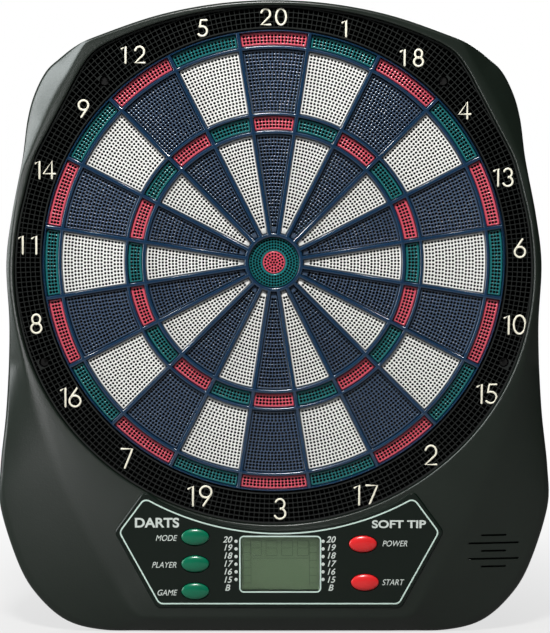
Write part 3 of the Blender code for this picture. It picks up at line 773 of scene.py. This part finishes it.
DIGITS = {  # strokes in a box one high, from the baseline; the flag says that a stroke is closed
    "0": (0.68, [(arc(0.34, 0.5, 0.27, 0.43, 90, 430, 27), True)]),
    "1": (0.6, [([(0.17, 0.81), (0.37, 0.93), (0.37, 0.07)], False)]),
    "2": (0.66, [(arc(0.33, 0.66, 0.24, 0.27, 165, -38) + [(0.09, 0.08), (0.58, 0.08)], False)]),
    "3": (0.64, [(arc(0.3, 0.71, 0.2, 0.22, 155, -88) + arc(0.3, 0.29, 0.24, 0.23, 88, -155), False)]),
    "4": (0.74, [([(0.5, 0.07), (0.5, 0.93), (0.07, 0.3), (0.66, 0.3)], False)]),
    "5": (0.64, [
        ([(0.53, 0.92), (0.22, 0.92), (0.15, 0.54)] + arc(0.29, 0.33, 0.26, 0.26, 118, -140), False),
    ]),
    "6": (0.66, [(arc(0.33, 0.32, 0.25, 0.25, 0, 350, 26), True), ([(0.12, 0.46), (0.44, 0.93)], False)]),
    "7": (0.64, [([(0.08, 0.92), (0.56, 0.92), (0.22, 0.07)], False)]),
    "8": (0.64, [
        (arc(0.32, 0.7, 0.19, 0.22, 0, 346, 24), True),
        (arc(0.32, 0.28, 0.24, 0.23, 0, 346, 24), True),
    ]),
    "9": (0.66, [(arc(0.33, 0.68, 0.25, 0.25, 0, 350, 26), True), ([(0.54, 0.54), (0.22, 0.07)], False)]),
}


# Extra space between the two digits of some numbers.
SPACING = {20: 2.5, 18: 3, 12: 3, 11: 1, 13: -0.8, 15: -2, 16: -2.4, 10: -1.2, 14: -1.8}
STROKE_HALF, STROKE_HEIGHT = 0.88, 0.5


def build_numbers():
    for index, number in enumerate(NUMBERS):
        (x, z), tall = number_place(index)
        digits = [DIGITS[digit] for digit in str(number)]
        spacing = SPACING.get(number, 0)
        width = sum(wide for wide, _ in digits) * tall + spacing
        form = Form()
        left = x - width / 2
        for wide, strokes in digits:
            for path, closed in strokes:
                spots = [(left + px * tall, z + (pz - 0.5) * tall) for px, pz in path]
                swept(form, spots, STROKE_HALF, STROKE_HEIGHT, CATCH_WALL + 0.15, sides=10, closed=closed)
            left += wide * tall + spacing
        name = f"numeral_{number}"
        place(name, form.mesh(name, 60), [NUMERAL], "board")


# Housing.

silhouette = smooth_half(arc_top(TOP_ARC_RADIUS, TOP_ARC_CENTRE, range(0, 160, 50)) + list(SILHOUETTE))
platform = smooth_half(arc_top(TOP_ARC_RADIUS - 2, TOP_ARC_CENTRE, range(0, 150, 48)) + list(PLATFORM))
opening = arc_top(OPENING_TOP_ARC, OPENING_TOP - OPENING_TOP_ARC, range(0, 141, 4))
opening += smooth_half([(140, 186.4), *OPENING, polar(74, OPENING_RADIUS)])[8:-8]
opening += [polar(turn, opening_radius(turn)) for turn in range(75, 181)]


def filleted(corners, steps=4):
    """A line through (radius, depth, fillet) corners, each corner an arc of a fixed number of points."""
    line = []
    for i, (r, d, fillet) in enumerate(corners):
        here = Vector((r, d))
        back = Vector(corners[i - 1][:2]) - here
        ahead = Vector(corners[(i + 1) % len(corners)][:2]) - here
        reach = min(fillet, back.length * 0.45, ahead.length * 0.45)
        start, end = here + back.normalized() * reach, here + ahead.normalized() * reach
        for step in range(steps + 1):
            t = step / steps
            line.append(tuple(start * (1 - t) ** 2 + here * 2 * t * (1 - t) + end * t**2))
    return line


def housing_section(turn):
    """The housing's section at one turn, from the opening's edge round; its lip thins at the top."""
    edge = radius_at(silhouette, turn)
    crest = min(radius_at(platform, turn), edge - 1.8)
    mouth = radius_at(opening, turn)
    slope = edge - crest
    drop = min(max(0.6 * slope, 1.5), 9.0)
    inner = edge - WALL
    inner_crest = min(crest - 0.5, inner - 0.7)
    lip = min(WALL, inner_crest - mouth - 0.2)
    soft = min(6.0, 1.5 + slope * 0.12)
    return filleted((
        (mouth, FACE, 1.6), (crest, FACE, soft),
        (crest + 0.6 * slope, FACE - 0.62 * drop, 10.0), (crest + 0.92 * slope, FACE - drop, 4.0),
        (edge, FACE - drop - 2.5, 2.5), (edge, SKIRT_BACK, 0.4), (inner, SKIRT_BACK, 0.3),
        (inner, FACE - drop - 2.5 - WALL, 1.0),
        (min(crest + 0.78 * slope, inner - 0.35), FACE - 0.86 * drop - WALL, 1.0),
        (inner_crest, FACE - WALL, 1.0), (mouth + lip, FACE - WALL, 0.8),
        (mouth + lip, LEDGE_BACK, 0.4), (LEDGE_RADIUS, LEDGE_BACK, 0.3), (LEDGE_RADIUS, LEDGE_FRONT, 0.3),
        (mouth, LEDGE_FRONT, 0.3),
    ))


def button_openings():
    return [ellipse(spot, (BUTTON_HALF[0] + 0.5, BUTTON_HALF[1] + 0.5), 48) for spot in BUTTONS.values()]


def build_housing():
    stations = 480
    sections = [(360 * i / stations, housing_section(360 * i / stations)) for i in range(stations)]
    loops = []
    for k in range(len(sections[0][1])):
        spots = [(*polar(turn, section[k][0]), section[k][1]) for turn, section in sections]
        loops.append([(x, depth, z) for x, z, depth in spots])
    form = Form()
    form.loft(loops, closed=True)
    mesh = form.mesh("housing", 35)
    housing = place("housing_shell", mesh, [HOUSING], "board", ["front_housing"])
    tool = Form()
    for outline in [rectangle(WINDOW_CENTRE, WINDOW_SIZE), *button_openings()]:
        tool.loft([[(x, depth, z) for x, z in outline] for depth in (FACE - 5, FACE + 3)])
    for row, length in enumerate(SLOT_LENGTHS):
        middle = (SPEAKER[0], SPEAKER[1] + SLOT_PITCH * (2 - row))
        outline = rounded(rectangle(middle, (length, SLOT_HEIGHT)), SLOT_HEIGHT * 0.49)
        tool.loft([[(x, depth, z) for x, z in outline] for depth in (FACE - 14, FACE + 3)])
    cut(housing, tool)


# Control panel.


def panel_outline(grow):
    """The hexagonal panel: an arc round the target on top, three straight sides and rounded corners."""
    arc_radius = 233.0 - grow
    top = [polar(turn, arc_radius) for turn in range(152, 209, 2)]
    apex, side, foot = polar(150.3, arc_radius), (137.2, -231.7), (103.2, -294.0)
    left = [(-x, z) for x, z in (apex, side, foot)]
    lower = offset_outline([*top, *left, foot, side, apex], grow)[len(top):]
    corners = rounded([top[-1], *lower, top[0]], 5.5)
    first = 7  # the points of one rounded corner; those at the arc's two ends are left out
    return [(x + PANEL_X, z) for x, z in [*top[1:-1], *corners[first:-first]]]


def build_panel():
    form = Form()
    outline = panel_outline(3.4)
    levels = ((0.6, FACE - 0.4), (0.6, FACE + 0.1), (0.1, PANEL_FRONT - 0.5), (-0.5, PANEL_FRONT))
    form.loft([[(x, depth, z) for x, z in offset_outline(outline, grow)] for grow, depth in levels])
    mesh = form.mesh("panel", 30)
    overlay = place("panel_platform", mesh, [PANEL], "board", ["control_overlay"])
    tool = Form()
    for shape in [rounded(rectangle(WINDOW_CENTRE, WINDOW_SIZE), 3.0), *button_openings()]:
        tool.loft([[(x, depth, z) for x, z in shape] for depth in (FACE - 3, FACE + 4)])
    cut(overlay, tool)
    bevel(overlay, 0.35, 2, 60)
    apply_modifiers(overlay)
    for name, path, wide in (
        ("panel_border_line", panel_outline(0), 0.6),
        ("window_border_line", rounded(rectangle(WINDOW_CENTRE, (69.4, 48.4)), 3.4), 0.6),
    ):
        line = Form()
        swept(line, path, wide, 0.09, PANEL_FRONT, sides=6, closed=True)
        place(name, line.mesh(name), [MINT], "board")


def lettering(name, words, x, z, size, align="LEFT", shear=0.28, bold=0.0, stretch=1.0):
    """Printed words on the panel, as a thin raised film."""
    text = bpy.data.curves.new(name, "FONT")
    text.body = words
    text.size = size * MM
    text.shear = shear
    text.align_x = align
    text.align_y = "CENTER"
    text.extrude = 0.05 * MM
    text.offset = bold * MM
    made = bpy.data.objects.new(name, text)
    bpy.context.scene.collection.objects.link(made)
    bpy.context.view_layer.update()
    mesh = bpy.data.meshes.new_from_object(made.evaluated_get(bpy.context.evaluated_depsgraph_get()))
    bpy.data.objects.remove(made, do_unlink=True)
    mesh.transform(Matrix.Diagonal((stretch, 1, 1, 1)))
    mesh.transform(Matrix.Rotation(math.radians(90), 4, "X"))
    mesh.transform(Matrix.Translation((x * MM, -(PANEL_FRONT + 0.05) * MM, z * MM)))
    mesh.materials.clear()
    place(name, mesh, [LABEL], "board")


def build_labels():
    for words, z in (("MODE", -237.0), ("PLAYER", -260.4), ("GAME", -284.6)):
        lettering(f"word_{words.lower()}", words, -84.0, z, 7.2, "RIGHT", stretch=0.88)
    for words, z in (("POWER", -241.8), ("START", -275.6)):
        lettering(f"word_{words.lower()}", words, 92.8, z, 7.2, stretch=0.87)
    lettering("word_darts", "DARTS", -81.4, -223.9, 11.4, "RIGHT", 0.0, 0.3, 1.1)
    lettering("word_soft_tip", "SOFT TIP", 130.4, -225.1, 9.2, "RIGHT", 0.0, 0.25, 1.26)
    for index, score in enumerate(("20", "19", "18", "17", "16", "15", "B")):
        z = -238.3 - 7.0 * index
        for side, x in (("left", -40.3), ("right", 48.6)):
            lettering(f"score_{side}_{score}", score, x, z, 7.6, "CENTER", bold=0.08)
            if score != "B":
                dot = Form()
                spot = (-32.6 if side == "left" else 42.2, -239.6 - 6.65 * index)
                levels = ((1.45, PANEL_FRONT), (1.45, PANEL_FRONT + 0.1), (0.8, PANEL_FRONT + 0.25))
                dot.loft([[(px, d, pz) for px, pz in ellipse(spot, (r, r), 16)] for r, d in levels])
                place(f"dot_{side}_{score}", dot.mesh("dot"), [LABEL], "board")


def build_display():
    glass = material("lens_clear", (0.96, 1.0, 0.96), 0.06, specular=0.5)
    glass.node_tree.nodes["Principled BSDF"].inputs["Transmission Weight"].default_value = 1.0
    glass.node_tree.nodes["Principled BSDF"].inputs["IOR"].default_value = 1.2
    screen = moulded("lcd_green", (0.175, 0.25, 0.152), 0.4, mottle=0.06)
    faint = moulded("lcd_segment", (0.08, 0.115, 0.075), 0.4, mottle=0.05)
    half = (WINDOW_SIZE[0] - 0.8, WINDOW_SIZE[1] - 0.8)
    lens = Form()
    levels = ((0, 28.6), (0, 30.4), (-0.4, 30.8))
    shape = rounded(rectangle(WINDOW_CENTRE, half), 2.8)
    lens.loft([[(x, d, z) for x, z in offset_outline(shape, g)] for g, d in levels])
    place("display_lens", lens.mesh("lens"), [glass], "board", ["lcd_lens"])
    module = Form()
    module.loft([[(x, d, z) for x, z in rectangle(WINDOW_CENTRE, (66.8, 45.8))] for d in (23.0, 27.4)])
    place("display_module", module.mesh("module"), [screen], "board", ["lcd_module"])
    marks = Form()
    cx, cz = WINDOW_CENTRE
    bars = []
    for index in range(4):
        bars += digit_bars(cx - 21 + 13.5 * index, cz + 13.5, 9.5, 13.5)
    for side in (-1, 1):
        for row in range(6):
            bars.append(((cx + side * 28.5, cz + 16 - 6.6 * row), (6.4, 0.35)))
        bars += [((cx + side * x, cz), (0.35, 38)) for x in (25.2, 31.8)]
    bars.append(((cx, cz + 4.6), (50, 0.35)))
    for centre, size in bars:
        marks.loft([[(x, d, z) for x, z in rectangle(centre, size)] for d in (27.4, 27.46)])
    place("display_marks", marks.mesh("marks"), [faint], "board")


def digit_bars(x, z, width, height):
    """Seven thin bars of an unlit digit."""
    bars = [((x, z + height / 2 * way), (width, 0.4)) for way in (-1, 0, 1)]
    for side in (-1, 1):
        for way in (-1, 1):
            bars.append(((x + side * width / 2, z + way * height / 4), (0.4, height / 2 - 1)))
    return bars


def build_buttons():
    """Domed oval caps on flanges; the dome keeps the oval's proportions as it closes in."""
    wide, high = BUTTON_HALF
    for name, spot in BUTTONS.items():
        form = Form()
        profile = [(1.2, 25.2), (1.2, 26.9), (0, 26.9), (0, 31.4)]
        for step in range(1, 9):
            lift = math.radians(90 * step / 9)
            profile.append((-(1 - math.cos(lift)) * high * 0.98, 31.4 + 2.7 * math.sin(lift)))
        loops = []
        for grow, depth in profile:
            half = (wide + grow * wide / high if grow < 0 else wide + grow, high + grow)
            loops.append([(x, depth, z) for x, z in ellipse(spot, half, 48)])
        form.loft(loops)
        finish, slot = (BUTTON_RED, "button_red") if spot[0] > 0 else (BUTTON_GREEN, "button_green")
        place(f"{name}_cap", form.mesh(name, 50), [finish], name, [name])


# What keeps its CAD shape gets a finish of its own.


def finish_cad_nodes():
    film = moulded("membrane_film", (0.5, 0.5, 0.42), 0.3)
    finishes = {
        "rear_cover": REAR,
        "battery_door": REAR,
        "keypad_mat": moulded("rubber_grey", (0.06, 0.06, 0.065), 0.8),
        "main_board": moulded("solder_mask_green", (0.01, 0.14, 0.05), 0.4),
        "switch_membrane": film,
        "membrane_tail": film,
        "damping_mat": moulded("foam_grey", (0.1, 0.1, 0.11), 0.9, grain=0.6, grain_scale=500.0),
        "backing_board": moulded(
            "hardboard_brown", (0.2, 0.1, 0.045), 0.75, grain=0.5, grain_scale=260.0, mottle=0.3
        ),
        "speaker": moulded("speaker_paper", (0.02, 0.02, 0.02), 0.7, grain=0.5, grain_scale=400.0),
        "speaker_lead": moulded("lead_red", (0.4, 0.02, 0.02), 0.45),
        "battery_lead": moulded("lead_dark_red", (0.3, 0.02, 0.02), 0.45),
    }
    cell = moulded("cell_jacket", (0.05, 0.05, 0.06), 0.3, metallic=0.5)
    for index in range(1, 4):
        finishes[f"battery_{index}"] = cell
        finishes[f"battery_spring_{index}"] = STEEL
    for index in range(1, 7):
        finishes[f"case_screw_{index}"] = STEEL
    for index in range(1, 5):
        finishes[f"ring_screw_{index}"] = SCREW_BLACK_AND_SHADE
    for name, chosen in finishes.items():
        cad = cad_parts[name]
        if not cad.material_slots:
            cad.data.materials.append(chosen)
        for spot in cad.material_slots:
            spot.material = chosen


# Floor, light and camera.


def build_floor():
    """A pale floor that fades to white before the camera."""
    pale = bpy.data.materials.new("floor_pale")
    pale.use_nodes = True
    tree = pale.node_tree
    shader = tree.nodes["Principled BSDF"]
    shader.inputs["Base Color"].default_value = (0.32, 0.32, 0.32, 1)
    shader.inputs["Roughness"].default_value = 0.9
    shader.inputs["Specular IOR Level"].default_value = 0.1
    glow = node(tree, "ShaderNodeEmission", Color=(1, 1, 1, 1), Strength=1.0)
    place_in = tree.nodes.new("ShaderNodeTexCoord")
    distance = tree.nodes.new("ShaderNodeVectorMath")
    distance.operation = "LENGTH"
    fade = tree.nodes.new("ShaderNodeMapRange")
    for name, value in (("From Min", 0.2), ("From Max", 0.75), ("To Min", 0.7), ("To Max", 1.0)):
        fade.inputs[name].default_value = value
    path = tree.nodes.new("ShaderNodeLightPath")
    seen = tree.nodes.new("ShaderNodeMath")
    seen.operation = "MULTIPLY"
    mix = tree.nodes.new("ShaderNodeMixShader")
    join(place_in, "Object", distance, 0)
    join(distance, "Value", fade, "Value")
    join(fade, "Result", seen, 0)
    join(path, "Is Camera Ray", seen, 1)
    join(seen, "Value", mix, "Fac")
    join(shader, "BSDF", mix, 1)
    join(glow, "Emission", mix, 2)
    join(mix, "Shader", tree.nodes["Material Output"], "Surface")
    form = Form()
    form.loft([[(x, d, z) for x, d in rectangle((0, 0), (8000, 8000))] for z in (-5, 0)])
    stage = bpy.data.objects.new("floor", form.mesh("floor"))
    stage.location.z = -321 * MM
    stage.data.materials.append(pale)
    bpy.context.scene.collection.objects.link(stage)


def add_light(name, spot, aim, size, power, colour):
    lamp = bpy.data.lights.new(name, "AREA")
    lamp.shape = "RECTANGLE"
    lamp.size, lamp.size_y = size
    lamp.energy = power
    lamp.color = colour
    item = bpy.data.objects.new(name, lamp)
    item.location = spot
    item.rotation_euler = (Vector(aim) - Vector(spot)).to_track_quat("-Z", "Y").to_euler()
    bpy.context.scene.collection.objects.link(item)
    return item


def build_studio():
    world = bpy.data.worlds.new("studio")
    bpy.context.scene.world = world
    world.use_nodes = True
    tree = world.node_tree
    background = tree.nodes["Background"]
    background.inputs["Color"].default_value = (0.93, 0.97, 1.0, 1)
    background.inputs["Strength"].default_value = 0.06
    white = tree.nodes.new("ShaderNodeBackground")
    white.inputs["Color"].default_value = (1, 1, 1, 1)
    white.inputs["Strength"].default_value = 1.0
    path = tree.nodes.new("ShaderNodeLightPath")
    mix = tree.nodes.new("ShaderNodeMixShader")
    join(path, "Is Camera Ray", mix, "Fac")
    join(background, "Background", mix, 1)
    join(white, "Background", mix, 2)
    join(mix, "Shader", tree.nodes["World Output"], "Surface")
    add_light("key_top", (-0.15, -1.35, 1.7), (0, 0, 0), (0.35, 0.35), 71, (1, 0.99, 0.97))
    add_light("window_left", (-1.6, -0.3, 0.2), (0, 0, 0), (0.5, 1.0), 18, (0.96, 1.0, 1.0))
    add_light("back_soft", (0.3, 2.0, 0.8), (0, 0, -0.05), (0.8, 0.8), 20, (1, 1, 1))
    sheen = [
        add_light("sheen_upper_left", (-1.36, -0.75, 1.15), (-0.15, 0, 0.1), (1.2, 1.2), 66, (0.94, 1, 1)),
        add_light("sheen_low_left", (-0.62, -1.5, -0.12), (0, 0, 0), (0.5, 0.5), 10, (1, 1, 1)),
    ]
    group = bpy.data.collections.new("sheen_on_housing")
    group.objects.link(bpy.data.objects["housing_shell"])
    for lamp in sheen:
        lamp.light_linking.receiver_collection = group


def build_camera():
    distance, lift = 1.8, math.radians(4.6)
    aim = Vector((0.0009, -0.027, -0.0461))
    lens = bpy.data.cameras.new("camera")
    lens.sensor_fit = "HORIZONTAL"
    lens.sensor_width = 36
    lens.lens = 137.9
    lens.clip_start = 0.05
    item = bpy.data.objects.new("camera", lens)
    item.location = aim + Vector((0, -math.cos(lift), math.sin(lift))) * distance
    item.rotation_euler = (aim - item.location).to_track_quat("-Z", "Y").to_euler()
    bpy.context.scene.collection.objects.link(item)
    bpy.context.scene.camera = item
    bpy.context.scene.view_settings.view_transform = "Standard"


build_camera()
build_floor()
build_housing()
build_catch_ring()
build_numbers()
build_spider()
build_segments()
build_bull()
build_panel()
build_labels()
build_display()
build_buttons()
finish_cad_nodes()
build_studio()
